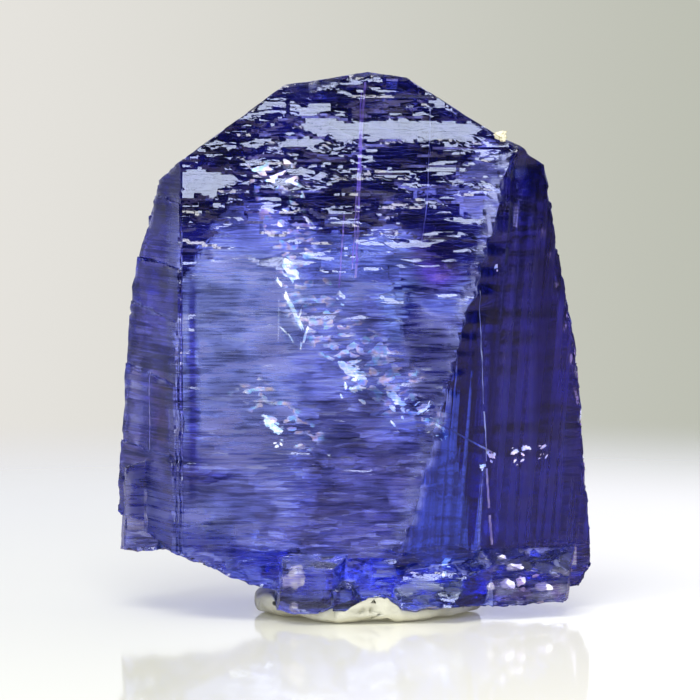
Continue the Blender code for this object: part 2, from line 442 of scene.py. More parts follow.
    def _height(self, place: Vector, zone: Zone) -> float:
        """Return how far the surface stands off the plain face, in millimetres.

        Args:
            place: the vertex's place in millimetres.
            zone: its surface zone.

        Returns:
            The height, negative where the surface sinks in.
        """
        x, y, z = place
        if zone is Zone.FRONT:
            return self._front_height(x, z)
        if zone is Zone.RIGHT:
            groove = noise.noise(Vector(((x + y) * 2.1, 5.0, z * 0.07)))
            fine = noise.noise(Vector(((x + y) * 6.0, 8.0, z * 0.15)))
            return self.groove_mm * groove + 0.012 * fine
        if zone is Zone.LEFT:
            line = noise.noise(Vector((x * 0.3, y * 0.5, z * 4.5)))
            bulge = noise.noise(Vector((4.0, y * 0.3, z * 0.6)))
            return 0.03 * line + 0.06 * bulge
        if zone is Zone.BACK:
            bulge = noise.noise(Vector((x * 0.35, 2.0, z * 0.3)))
            return 0.14 * bulge + self.step_mm * self._terrace(x * 0.4, z * 1.1, 31.0)
        if zone is Zone.BASE:
            return self.base_ragged_mm * noise.fractal(place * 0.9, 0.8, 2.1, 4)
        return 0.03 * noise.fractal(place * 0.8, 0.8, 2.1, 3)

    @staticmethod
    def _terrace(across: float, up: float, seed: float) -> float:
        """Return a stepped height from -0.5 to 0.5 that keeps level between short steep risers.

        Args:
            across: the place along the growth lines, scaled.
            up: the place across them, scaled.
            seed: which pattern.

        Returns:
            The stepped height.
        """
        value = 3.2 * (noise.fractal(Vector((across, seed, up)), 0.9, 2.2, 3) + 0.5)
        level = math.floor(value)
        return (level + eased(value - level, 0.3, 0.7)) / 3.2 - 0.5

    def _plate(
        self, x: float, z: float, wide: float, tall: float, lean_deg: float, steep: float, seed: float
    ) -> float:
        """Return the height of flat straight-edged growth plates, each leaning its own way.

        Args:
            x: the place across, in millimetres.
            z: the place up, in millimetres.
            wide: a plate's usual width.
            tall: a plate's usual height.
            lean_deg: how far a plate leans at most.
            steep: the share of the full step between neighbours.
            seed: which pattern.

        Returns:
            The height in millimetres.
        """
        place = Vector((x / wide, seed, z / tall))
        middle = noise.voronoi(place, distance_metric="CHEBYCHEV")[1][0]
        chance = noise.cell_vector(middle * 9.0)
        lean = math.tan(math.radians(lean_deg * (2.0 * chance.x - 1.0)))
        swing = math.tan(math.radians(0.4 * lean_deg * (2.0 * chance.z - 1.0)))
        rise = self.step_mm * steep * (chance.y - 0.5)
        return rise + lean * (middle.z - place.z) * tall + swing * (place.x - middle.x) * wide

    def _front_height(self, x: float, z: float) -> float:
        """Return the height of the stepped front, with its smooth leaning facets.

        Args:
            x: the place across, in millimetres.
            z: the place up, in millimetres.

        Returns:
            The height in millimetres.
        """
        upper = eased(z, 13.5, 16.5)
        hatched = upper * eased(noise.noise(Vector((x * 0.45, 51.0, z * 0.9))), -0.05, 0.25)
        height = self._plate(x, z, 2.9, 0.85, 0.8 + 7.2 * upper, 0.3 + 0.5 * upper, 3.0)
        height += self._plate(x, z, 0.8, 0.24, 0.8 + 5.2 * hatched, 0.2 + 0.5 * hatched, 13.0)
        for facet in self.facets:
            inside = facet.inside(x, z)
            if inside > 0.0:
                flat = -(z - facet.z) * math.tan(math.radians(facet.lean_deg))
                height += (flat - height) * inside
        return height

    def _ridge_shift(self, place: Vector, normal: Vector) -> float:
        """Return how far the ridge wanders sideways here.

        Args:
            place: the vertex's place in millimetres.
            normal: its outward normal.

        Returns:
            The shift in millimetres.
        """
        if normal.y > -0.3:
            return 0.0
        near = eased(abs(place.x - ridge_x(place.z)), 0.9, 0.0)
        wander = noise.noise(Vector((3.0, 7.0, place.z * 0.55)))
        wander += 0.5 * noise.noise(Vector((5.0, 9.0, place.z * 1.9)))
        return self.ridge_wander_mm * wander * near

    def _chip(self, place: Vector) -> float:
        """Return how deep an edge is chipped here, in millimetres."""
        worn = noise.fractal(place * 1.1, 0.8, 2.0, 3)
        return self.chip_mm * max(0.0, worn + 0.12)

    def _paint(
        self, place: Vector, zone: Zone, worn: float, chip: float
    ) -> tuple[tuple[float, ...], tuple[float, ...]]:
        """Return the tint and the finish of a place.

        Args:
            place: the vertex's place in millimetres.
            zone: its surface zone.
            worn: 1 on a sharp edge, 0 on a flat face; not used.
            chip: how much is chipped off here, in millimetres.

        Returns:
            The tint, and the finish: how silky it is, how polished and how much it is grooved upwards.
        """
        x, y, z = place
        tint = Vector(self.plain_tint)
        silk, polish, grooved = 0.12, 0.0, 0.0
        if zone is Zone.FRONT:
            tint, silk, polish = self._paint_front(x, z)
        elif zone is Zone.RIGHT and y < 0.5:
            tint, silk = self._paint_right(x, z)
            grooved = eased(z, self.grown_blocks_top - 0.8, self.grown_blocks_top)
        elif zone is Zone.LEFT:
            tint, silk = self._paint_left(x, z)
        elif zone is Zone.ROOF:
            silk, polish = 0.02, 0.7
        elif zone is Zone.BASE:
            tint, silk = Vector(self.base_tint), 0.25
        if z < self.grown_blocks_top and y < 0.0:
            for patch in self.base_patches:
                share = patch.share(x, z)
                tint = tint.lerp(Vector(patch.tint), share)
                silk += (patch.silk - silk) * share
        ridge = eased(abs(x - ridge_x(z) + 0.25), 0.5, 0.16) * (zone in (Zone.FRONT, Zone.RIGHT))
        frost = ridge * eased(noise.noise(Vector((x * 2.0, 1.0, z * 2.4))), -0.35, 0.15) * eased(z, 1.0, 5.0)
        frost = max(0.8 * frost, 0.7 * eased(chip, 0.03, 0.12) * (zone is not Zone.BACK))
        tint = tint.lerp(Vector(self.frost_tint), frost)
        silk = max(silk, 0.9 * frost)
        return (*tint, 1.0), (silk, polish, grooved, 1.0)

    def _paint_front(self, x: float, z: float) -> tuple[Vector, float, float]:
        """Return the look of a place on the front face.

        Args:
            x: the place across, in millimetres.
            z: the place up, in millimetres.

        Returns:
            Its tint, silkiness and polish.
        """
        # The top of the front is darkened with painted shade.
        upper = eased(z + 0.7 * noise.noise(Vector((x * 0.4, 41.0, z * 1.3))), 14.6, 16.6)
        tint = Vector(self.front_tint).lerp(Vector(self.painted_shade_top_tint), upper)
        silk = 0.15 * (1.0 - upper)
        for patch in self.front_patches:
            share = patch.share(x, z)
            tint = tint.lerp(Vector(patch.tint), share)
            silk += (patch.silk - silk) * share
        polish = max(facet.inside(x, z) for facet in self.facets)
        return tint, silk, polish

    def _paint_left(self, x: float, z: float) -> tuple[Vector, float]:
        """Return the look of a place on the left strip, with its pale stripe and its maroon band.

        Args:
            x: the place across, in millimetres.
            z: the place up, in millimetres.

        Returns:
            Its tint and silkiness.
        """
        lower = eased(z, 7.0, 4.5)
        tint = Vector(self.left_tint).lerp(Vector(self.left_upper_tint), eased(z, 9.5, 12.5))
        tint = tint.lerp(Vector(self.left_lower_tint), lower)
        broken = eased(noise.noise(Vector((1.0, 61.0, z * 0.6))), -0.4, 0.1)
        pale = eased(abs(x - self.stripe_x), 0.34, 0.14) * broken
        maroon = eased(abs(x - self.maroon_x), 0.45, 0.2) * eased(abs(z - self.maroon_z), 1.9, 1.1)
        tint = tint.lerp(Vector(self.stripe_tint), 0.8 * pale).lerp(Vector(self.maroon_tint), 0.85 * maroon)
        return tint, max(0.3 + 0.5 * lower, 0.7 * pale)

    def _paint_right(self, x: float, z: float) -> tuple[Vector, float]:
        """Return the look of a place on the right face, blue by the ridge and banded beyond, one band a
        painted glint.

        Args:
            x: the place across, in millimetres.
            z: the place up, in millimetres.

        Returns:
            Its tint and silkiness.
        """
        edge = self.wedge_edge_x
        outward = eased(x - ridge_x(z), 0.6, 2.2) * eased(x, edge, edge + 1.0)
        wedge = eased(x, edge, edge - 0.5) * eased(z, 10.5, 9.0)
        tint = Vector(self.right_tint).lerp(Vector(self.outer_tint), outward)
        tint = tint.lerp(Vector(self.wedge_tint), 0.8 * wedge)
        for band in self.right_bands:
            tint = tint.lerp(Vector(band.tint), 0.85 * band.share(x, z))
        tint *= 1.0 + 0.7 * noise.noise(Vector((x * 2.6, 2.0, z * 0.05)))
        tint = tint.lerp(Vector(self.outer_lower_tint), 0.5 * eased(z, 8.5, 5.5) * outward)
        return Vector(min(1.0, max(0.01, part)) for part in tint), 0.1 + 0.5 * outward


def add_node(tree: bpy.types.NodeTree, kind: str, **settings: object) -> bpy.types.Node:
    """Add a shader node.

    Args:
        tree: the node tree.
        kind: the node's type without its ShaderNode prefix.
        settings: property names with their values.

    Returns:
        The new node.
    """
    node = tree.nodes.new("ShaderNode" + kind)
    for name, value in settings.items():
        setattr(node, name, value)
    return node


def plug(tree: bpy.types.NodeTree, socket: bpy.types.NodeSocket, value: object) -> None:
    """Link an output to an input, or set the input to a plain value.

    Args:
        tree: the node tree.
        socket: the input.
        value: an output socket, a number, a vector or a colour.
    """
    if isinstance(value, bpy.types.NodeSocket):
        tree.links.new(value, socket)
    elif socket.type == "RGBA":
        socket.default_value = (*value, 1.0)
    else:
        socket.default_value = value


def feed(tree: bpy.types.NodeTree, node: bpy.types.Node, **values: object) -> bpy.types.Node:
    """Set or link a node's inputs by name, with spaces written as underscores, and return the node."""
    for name, value in values.items():
        plug(tree, node.inputs[name.replace("_", " ")], value)
    return node


def math_node(tree: bpy.types.NodeTree, operation: str, *values: object) -> bpy.types.NodeSocket:
    """Return the output of a Math node.

    Args:
        tree: the node tree.
        operation: the operation's name, such as MULTIPLY.
        values: sockets or numbers for its inputs in order.

    Returns:
        The result's socket.
    """
    node = add_node(tree, "Math", operation=operation)
    for socket, value in zip(node.inputs, values):
        plug(tree, socket, value)
    return node.outputs["Value"]


def vector_node(
    tree: bpy.types.NodeTree, operation: str, first: object, second: object = None
) -> bpy.types.NodeSocket:
    """Return the output of a Vector Math node.

    Args:
        tree: the node tree.
        operation: the operation's name, such as MULTIPLY.
        first: a socket or vector.
        second: a socket, vector or scale, if the operation takes one.

    Returns:
        The result's socket, which is a number for a length or a distance.
    """
    node = add_node(tree, "VectorMath", operation=operation)
    plug(tree, node.inputs[0], first)
    if second is not None:
        plug(tree, node.inputs["Scale" if operation == "SCALE" else 1], second)
    return node.outputs["Value" if operation in ("LENGTH", "DISTANCE") else "Vector"]


def blend(
    tree: bpy.types.NodeTree, factor: object, first: object, second: object, kind: str = "RGBA"
) -> bpy.types.NodeSocket:
    """Return the output of a Mix node.

    Args:
        tree: the node tree.
        factor: a socket or number.
        first: a socket, colour or number, shown where the factor is 0.
        second: the same, shown where the factor is 1.
        kind: RGBA for colours or FLOAT for numbers.

    Returns:
        The mixed value's socket.
    """
    node = add_node(tree, "Mix", data_type=kind)
    wanted = "VALUE" if kind == "FLOAT" else kind
    ends = [socket for socket in node.inputs if socket.type == wanted][-2:]
    for socket, value in zip((node.inputs["Factor"], *ends), (factor, first, second)):
        plug(tree, socket, value)
    return next(socket for socket in node.outputs if socket.type == wanted)


class Contrast(NamedTuple):
    """How a pattern becomes a factor: between which values it changes, and from what to what."""

    low: float
    high: float
    to_low: float = 0.0
    to_high: float = 1.0


def smooth_range(tree: bpy.types.NodeTree, value: object, change: Contrast) -> bpy.types.NodeSocket:
    """Return a value eased from one range to another.

    Args:
        tree: the node tree.
        value: the socket to read.
        change: the two ranges.

    Returns:
        The eased value's socket.
    """
    node = add_node(tree, "MapRange", interpolation_type="SMOOTHSTEP")
    feed(
        tree, node, Value=value, From_Min=change.low, From_Max=change.high, To_Min=change.to_low,
        To_Max=change.to_high,
    )
    return node.outputs["Result"]


def split(tree: bpy.types.NodeTree, kind: str, value: bpy.types.NodeSocket) -> bpy.types.NodeOutputs:
    """Return the parts of a vector or colour.

    Args:
        tree: the node tree.
        kind: SeparateXYZ or SeparateColor.
        value: the socket to split.

    Returns:
        The node's outputs, by name.
    """
    node = add_node(tree, kind)
    tree.links.new(value, node.inputs[0])
    return node.outputs


def object_place(tree: bpy.types.NodeTree) -> bpy.types.NodeSocket:
    """Return the object coordinates."""
    return add_node(tree, "TexCoord").outputs["Object"]


def painted(tree: bpy.types.NodeTree, name: str) -> bpy.types.NodeSocket:
    """Return the colour that is stored on the mesh under this name."""
    return add_node(tree, "Attribute", attribute_name=name).outputs["Color"]


def bumped(
    tree: bpy.types.NodeTree, height: bpy.types.NodeSocket, strength: float, depth_mm: float
) -> bpy.types.NodeSocket:
    """Return the normal of a Bump node with this height pattern, strength and depth."""
    node = add_node(tree, "Bump")
    return feed(tree, node, Strength=strength, Distance=depth_mm * MM, Height=height).outputs["Normal"]


def wall_place(tree: bpy.types.NodeTree) -> bpy.types.NodeSocket:
    """Return the flat coordinates of a wall: how far along it, and how high, both in metres."""
    parts = split(tree, "SeparateXYZ", object_place(tree))
    along = math_node(tree, "MULTIPLY_ADD", parts["Y"], DEPTH_SHARE, parts["X"])
    return feed(tree, add_node(tree, "CombineXYZ"), X=along, Y=parts["Z"]).outputs[0]


def new_material(name: str) -> tuple[bpy.types.Material, bpy.types.NodeTree, bpy.types.Node]:
    """Return a new material with its node tree and its Principled BSDF."""
    material = bpy.data.materials.new(name)
    material.use_nodes = True
    return material, material.node_tree, material.node_tree.nodes["Principled BSDF"]


def new_group(
    name: str, inputs: dict[str, tuple[str, object]], outputs: tuple[str, ...]
) -> tuple[bpy.types.NodeTree, bpy.types.NodeOutputs, bpy.types.Node]:
    """Make an empty shader node group with named sockets.

    Args:
        name: the group's name.
        inputs: for each input its kind (Float or Vector) and its default, or None.
        outputs: the names of its outputs, which are numbers.

    Returns:
        The group's tree, the sockets that bring its inputs in, and its Group Output node.
    """
    tree = bpy.data.node_groups.new(name, "ShaderNodeTree")
    for label, (kind, default) in inputs.items():
        socket = tree.interface.new_socket(label, in_out="INPUT", socket_type="NodeSocket" + kind)
        if default is not None:
            socket.default_value = default
    for label in outputs:
        tree.interface.new_socket(label, in_out="OUTPUT", socket_type="NodeSocketFloat")
    return tree, tree.nodes.new("NodeGroupInput").outputs, tree.nodes.new("NodeGroupOutput")


@dataclass
class SharedPatterns:
    """The node groups that several finishes use, each built once."""

    plate_swing: float = 0.8
    noise_detail: float = 1.6
    line_roughness: float = 0.65
    groups: dict[str, bpy.types.NodeTree] = field(default_factory=dict)

    def shown(
        self, tree: bpy.types.NodeTree, name: str, output: str | int = 0, **values: object
    ) -> bpy.types.NodeSocket:
        """Place a pattern's group in a tree, building the group the first time.

        Args:
            tree: the material's tree.
            name: plates, lines or mottle.
            output: which of the group's outputs is wanted.
            values: the group's inputs.

        Returns:
            The output's socket.
        """
        if name not in self.groups:
            self.groups[name] = {"plates": self._plates, "lines": self._lines, "mottle": self._mottle}[name]()
        node = add_node(tree, "Group", node_tree=self.groups[name])
        return feed(tree, node, **values).outputs[output]

    def _plates(self) -> bpy.types.NodeTree:
        """Return flat straight-edged growth plates, each leaning and shaded a little differently."""
        tree, given, end = new_group(
            "growth_plates",
            {"Vector": ("Vector", None), "Stretch": ("Vector", (700.0, 3000.0, 1.0)), "Lean": ("Float", 1.0)},
            ("Height", "Shade"),
        )
        spread = vector_node(tree, "MULTIPLY", given["Vector"], given["Stretch"])
        cells = add_node(tree, "TexVoronoi", voronoi_dimensions="2D", distance="CHEBYCHEV")
        feed(tree, cells, Vector=spread, Scale=1.0, Randomness=1.0)
        within = split(tree, "SeparateXYZ", vector_node(tree, "SUBTRACT", spread, cells.outputs["Position"]))
        chance = split(tree, "SeparateColor", cells.outputs["Color"])
        lean = math_node(tree, "MULTIPLY", math_node(tree, "SUBTRACT", chance["Red"], 0.5), given["Lean"])
        turn = math_node(tree, "MULTIPLY", math_node(tree, "SUBTRACT", chance["Blue"], 0.5), self.plate_swing)
        tilt = math_node(tree, "MULTIPLY", within["Y"], lean)
        swing = math_node(tree, "MULTIPLY", within["X"], turn)
        height = math_node(tree, "ADD", math_node(tree, "ADD", tilt, swing), chance["Green"])
        feed(tree, end, Height=height, Shade=chance["Green"])
        return tree

    def _lines(self) -> bpy.types.NodeTree:
        """Return fine parallel lines, stretched along one axis."""
        tree, given, end = new_group(
            "parallel_lines",
            {"Vector": ("Vector", None), "Stretch": ("Vector", (300.0, 2200.0, 1.0))},
            ("Height",),
        )
        spread = vector_node(tree, "MULTIPLY", given["Vector"], given["Stretch"])
        bumps = add_node(tree, "TexNoise", noise_dimensions="2D")
        feed(tree, bumps, Vector=spread, Scale=1.0, Detail=self.noise_detail, Roughness=self.line_roughness)
        feed(tree, end, Height=bumps.outputs[0])
        return tree

    def _mottle(self) -> bpy.types.NodeTree:
        """Return soft cloudy patches, as a mask."""
        tree, given, end = new_group(
            "soft_mottle",
            {
                "Vector": ("Vector", None), "Scale": ("Float", 500.0),
                "From": ("Float", 0.4), "To": ("Float", 0.6),
            },
            ("Mask",),
        )
        clouds = add_node(tree, "TexNoise")
        feed(tree, clouds, Vector=given["Vector"], Scale=given["Scale"], Detail=self.noise_detail)
        feed(tree, end, Mask=smooth_range(tree, clouds.outputs[0], Contrast(given["From"], given["To"])))
        return tree


@dataclass(frozen=True)
class TanzaniteFinish:
    """Clear blue-violet crystal.

    The tints painted on the surface colour the light that passes through each zone; some of them are painted
    shade, sheen and glints. The absorption colours what crosses the stone. The patterns are given as marks to
    the metre, along a wall and up it.
    """

    absorb: Colour = (0.13, 0.22, 0.85)
    absorb_per_mm: float = 0.15
    ior: float = 1.695
    plate_mm: float = 0.05
    polished: float = 0.035
    silky: float = 0.42
    ribs: Triple = (2600.0, 60.0, 1.0)
    dashes: Triple = (300.0, 3000.0, 1.0)
    fine_dashes: Triple = (800.0, 11000.0, 1.0)
    blocks: Triple = (480.0, 1300.0, 1.0)
    plates: Triple = (620.0, 2700.0, 1.0)
    fine_plates: Triple = (1500.0, 8000.0, 1.0)
    plate_lean: float = 1.7
    fine_plate_lean: float = 1.4
    fine_share: float = 0.35
    clouds_per_m: float = 520.0
    cloud_edge: tuple[float, float] = (0.36, 0.64)
    cloud_share: float = 0.6
    fine_dash_share: float = 0.55
    dash_marks: Contrast = Contrast(0.38, 0.62, 0.42, 1.7)
    rib_marks: Contrast = Contrast(0.38, 0.62, 0.55, 1.5)
    cloud_marks: Contrast = Contrast(0.25, 0.75, 0.46, 1.9)
    streaks: Contrast = Contrast(0.35, 0.6, 0.45, 1.1)
    polished_relief: float = 0.12
    silky_relief: float = 0.3
    patterns: SharedPatterns = field(default_factory=SharedPatterns)

    def make(self) -> bpy.types.Material:
        """Return the crystal's material."""
        material, tree, shader = new_material("tanzanite")
        shader.inputs["IOR"].default_value = self.ior
        shader.inputs["Transmission Weight"].default_value = 1.0
        finish = split(tree, "SeparateColor", painted(tree, "finish"))
        silk, grooved = finish["Red"], finish["Blue"]
        unpolished = math_node(tree, "SUBTRACT", 1.0, finish["Green"])
        wall = wall_place(tree)
        dashes = math_node(
            tree, "MULTIPLY_ADD", self.patterns.shown(tree, "lines", Vector=wall, Stretch=self.fine_dashes),
            self.fine_dash_share,
            math_node(
                tree, "MULTIPLY", self.patterns.shown(tree, "lines", Vector=wall, Stretch=self.dashes),
                1.0 - self.fine_dash_share,
            ),
        )
        ribs = self.patterns.shown(tree, "lines", Vector=wall, Stretch=self.ribs)
        colour = self._colour(tree, wall, dashes, ribs, unpolished, grooved)
        streaks = smooth_range(tree, blend(tree, grooved, dashes, ribs, "FLOAT"), self.streaks)
        rough = math_node(
            tree, "MULTIPLY_ADD", math_node(tree, "MULTIPLY", silk, streaks), self.silky, self.polished
        )
        relief = self._relief(tree, wall, ribs, silk, unpolished, grooved)
        normal = bumped(tree, relief, 1.0, self.plate_mm)
        feed(tree, shader, Base_Color=colour, Roughness=rough, Normal=normal)
        volume = add_node(tree, "VolumeAbsorption")
        feed(tree, volume, Color=self.absorb, Density=self.absorb_per_mm / MM)
        tree.links.new(volume.outputs["Volume"], tree.nodes["Material Output"].inputs["Volume"])
        return material

    def _colour(
        self, tree: bpy.types.NodeTree, wall: bpy.types.NodeSocket, dashes: bpy.types.NodeSocket,
        ribs: bpy.types.NodeSocket, unpolished: bpy.types.NodeSocket, grooved: bpy.types.NodeSocket,
    ) -> bpy.types.NodeSocket:
        """Return the painted tint, broken up by dashes, blocks and clouds, or by bands where it is grooved.

        Args:
            tree: the material's tree.
            wall: the wall's flat coordinates.
            dashes: the pattern of short level dashes.
            ribs: the upright line pattern.
            unpolished: 1 where the face isn't polished.
            grooved: 1 where the face is grooved upwards.

        Returns:
            The colour's socket.
        """
        marks = math_node(tree, "SUBTRACT", smooth_range(tree, dashes, self.dash_marks), 1.0)
        marks = math_node(tree, "MULTIPLY_ADD", marks, unpolished, 1.0)
        blocks = self.patterns.shown(tree, "plates", "Shade", Vector=wall, Stretch=self.blocks, Lean=0.0)
        low, high = self.cloud_edge
        clouds = self.patterns.shown(
            tree, "mottle", Vector=object_place(tree), Scale=self.clouds_per_m, From=low, To=high
        )
        cloudy = math_node(
            tree, "MULTIPLY_ADD", clouds, self.cloud_share,
            math_node(tree, "MULTIPLY", blocks, 1.0 - self.cloud_share),
        )
        marks = math_node(tree, "MULTIPLY", marks, smooth_range(tree, cloudy, self.cloud_marks))
        shade = blend(tree, grooved, marks, smooth_range(tree, ribs, self.rib_marks), "FLOAT")
        scaled = vector_node(tree, "SCALE", painted(tree, "tint"), shade)
        return vector_node(tree, "MINIMUM", scaled, (1.0, 1.0, 1.0))

    def _relief(
        self, tree: bpy.types.NodeTree, wall: bpy.types.NodeSocket, ribs: bpy.types.NodeSocket,
        silk: bpy.types.NodeSocket, unpolished: bpy.types.NodeSocket, grooved: bpy.types.NodeSocket,
    ) -> bpy.types.NodeSocket:
        """Return the height of fine growth plates on level zones and of ribs on grooved ones.

        Args:
            tree: the material's tree.
            wall: the wall's flat coordinates.
            ribs: the upright line pattern.
            silk: 1 where the face is silky, which has the shallowest lines.
            unpolished: 1 where the face isn't polished.
            grooved: 1 where the face is grooved upwards.

        Returns:
            The height's socket.
        """
        plates, fine = (
            self.patterns.shown(tree, "plates", Vector=wall, Stretch=stretch, Lean=lean)
            for stretch, lean in ((self.plates, self.plate_lean), (self.fine_plates, self.fine_plate_lean))
        )
        level = math_node(tree, "MULTIPLY_ADD", fine, self.fine_share, plates)
        kept = math_node(tree, "MULTIPLY_ADD", unpolished, 1.0 - self.polished_relief, self.polished_relief)
        height = blend(tree, grooved, math_node(tree, "MULTIPLY", level, kept), ribs, "FLOAT")
        depth = math_node(tree, "MULTIPLY_ADD", silk, self.silky_relief - 1.0, 1.0)
        return math_node(tree, "MULTIPLY", height, depth)


@dataclass(frozen=True)
class PuttyFinish:
    """Matt white mineral putty, faintly mottled, with one dark speck of dust."""

    white: Colour = (0.72, 0.7, 0.55)
    shade: Colour = (0.58, 0.56, 0.43)
    specular: float = 0.35
    rough: Contrast = Contrast(0.0, 1.0, 0.5, 0.72)
    bump_mm: float = 0.05
    speck: Colour = (0.05, 0.05, 0.045)
    speck_mm: Triple = (-3.12, -0.36, 0.66)
    speck_radius_mm: float = 0.12
    speck_depth_share: float = 0.12
    patterns: SharedPatterns = field(default_factory=SharedPatterns)

    def make(self) -> bpy.types.Material:
        """Return the putty's material."""
        material, tree, shader = new_material("white_putty")
        shader.inputs["Specular IOR Level"].default_value = self.specular
        place = object_place(tree)
        mottle = self.patterns.shown(tree, "mottle", Vector=place, Scale=900.0, From=0.42, To=0.66)
        grains = self.patterns.shown(tree, "mottle", Vector=place, Scale=9000.0, From=0.4, To=0.7)
        flat = vector_node(tree, "MULTIPLY", place, (1.0, self.speck_depth_share, 1.0))
        away = vector_node(tree, "DISTANCE", flat, Vector(self.speck_mm) * MM)
        edge = Contrast(self.speck_radius_mm * MM, self.speck_radius_mm * MM / 2.0)
        colour = blend(tree, mottle, self.white, self.shade)
        colour = blend(tree, smooth_range(tree, away, edge), colour, self.speck)
        height = math_node(tree, "MULTIPLY_ADD", grains, 0.2, mottle)
        rough = smooth_range(tree, mottle, self.rough)
        feed(tree, shader, Base_Color=colour, Roughness=rough, Normal=bumped(tree, height, 0.5, self.bump_mm))
        return material


@dataclass
class PuttyPad:
    """The pad of white putty under the crystal, pressed up against its base. Sizes are in millimetres."""

    height_mm: float = 1.12
    clearance_mm: float = 0.035
    bulge_mm: float = 0.12
    segments: int = 220
    rings: int = 64

    def build(self, crystal: bpy.types.Object) -> bpy.types.Object:
        """Flatten a ball into a pad and press the crystal into it.

        Args:
            crystal: the finished crystal.

        Returns:
            The pad.
        """
        low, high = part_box("putty_pad")
        middle = (low + high) / 2.0 / MM
        reach = (high - low) / 2.0 / MM
        bm = bmesh.new()
        bmesh.ops.create_uvsphere(bm, u_segments=self.segments, v_segments=self.rings, radius=1.0)
        for vert in bm.verts:
            vert.co = self._flattened(vert.co, middle, reach) * MM
        stone = BVHTree.FromObject(crystal, bpy.context.evaluated_depsgraph_get())
        for vert in bm.verts:
            self._press(vert, stone)
        loose = [vert for vert in bm.verts if vert.co.z > 0.02 * MM]
        bmesh.ops.smooth_vert(bm, verts=loose, factor=0.35, use_axis_x=True, use_axis_y=True, use_axis_z=True)
        for vert in bm.verts:
            self._press(vert, stone)
        bmesh.ops.recalc_face_normals(bm, faces=bm.faces)
        return link_object("pressed_putty", bm)

    def _flattened(self, place: Vector, middle: Vector, reach: Vector) -> Vector:
        """Return where a point of the unit ball goes on the pad, in millimetres.

        Args:
            place: the point on the unit ball.
            middle: the middle of the pad's box.
            reach: half the pad's box.

        Returns:
            The point on the pad before the crystal is pressed in.
        """
        turn = math.atan2(place.y, place.x)
        across = math.hypot(place.x, place.y) ** 0.8
        wander = 1.0 + 0.02 * math.sin(2.0 * turn + 0.8) + 0.014 * math.sin(3.0 * turn + 2.0)
        x = middle.x + reach.x * 0.98 * across * wander * math.cos(turn)
        y = middle.y + reach.y * 0.98 * across * wander * math.sin(turn)
        lumps = noise.fractal(Vector((x * 0.5, y * 0.5, 2.0)), 0.9, 2.0, 3)
        top = self.height_mm * (0.5 + 0.5 * math.copysign(abs(place.z) ** 0.55, place.z))
        z = top * (1.0 + 0.12 * lumps) + self.bulge_mm * lumps * eased(across, 0.3, 0.8)
        return Vector((x, y, max(0.0, z * 1.12 - 0.1)))

    def _press(self, vert: bmesh.types.BMVert, stone: BVHTree) -> None:
        """Move a vertex of the pad to just below or just outside the crystal.

        Args:
            vert: the pad's vertex.
            stone: the crystal's surface.
        """
        gap = self.clearance_mm * MM
        below = Vector((vert.co.x, vert.co.y, -1.0 * MM))
        hit = stone.ray_cast(below, Vector((0.0, 0.0, 1.0)))[0]
        if hit is not None and vert.co.z > hit.z - gap:
            vert.co.z = max(0.0, hit.z - gap)
        near, normal, _, away = stone.find_nearest(vert.co)
        if away < gap or (vert.co - near).dot(normal) < 0.0:
            vert.co = near + normal * gap
            vert.co.z = max(0.0, vert.co.z)


@dataclass(frozen=True)
class RockFinish:
    """Dull cream host rock with browner grains."""

    cream: Colour = (0.86, 0.82, 0.6)
    brown: Colour = (0.6, 0.5, 0.28)
    rough: float = 0.8
    bump_mm: float = 0.02
    patterns: SharedPatterns = field(default_factory=SharedPatterns)

    def make(self) -> bpy.types.Material:
        """Return the rock's material."""
        material, tree, shader = new_material("cream_rock")
        grains = self.patterns.shown(
            tree, "mottle", Vector=object_place(tree), Scale=11000.0, From=0.5, To=0.7
        )
        colour = blend(tree, grains, self.cream, self.brown)
        normal = bumped(tree, grains, 0.7, self.bump_mm)
        feed(tree, shader, Base_Color=colour, Roughness=self.rough, Normal=normal)
        return material


@dataclass
class RockCrumb:
    """The crumb of host rock on the bevel of the roof's right edge."""

    rough: float = 0.45

    def build(self) -> bpy.types.Object:
        """Return the crumb, a broken lump that fills its place on the bevel."""
        low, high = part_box("matrix_crumb")
        bm = bmesh.new()
        bmesh.ops.create_icosphere(bm, subdivisions=4, radius=1.0)
        for vert in bm.verts:
            dent = noise.fractal(vert.co * 1.6, 0.8, 2.1, 4)
            vert.co *= 0.86 + self.rough * (math.floor(dent * 4.0) / 4.0 + 0.3 * dent)
        bmesh.ops.scale(bm, vec=(high - low) / 2.0, verts=bm.verts)
        bmesh.ops.translate(bm, vec=(low + high) / 2.0, verts=bm.verts)
        return link_object("rock_crumb", bm)


class Needle(NamedTuple):
    """A thin inclusion and its radius. Each point is how far across, how deep in and how high."""

    points: tuple[Triple, ...]
    radius: float


class Flake(NamedTuple):
    """A small lump: its middle across, deep and up, its length, thickness and turn in the front view."""

    middle: Triple
    length: float
    thickness: float
    turn_deg: float


class Veil(NamedTuple):
    """A healed crack sealed in the stone: its name, its middle, its two directions and its size."""

    name: str
    middle: Triple
    along: Triple
    across: Triple
    length: float
    width: float


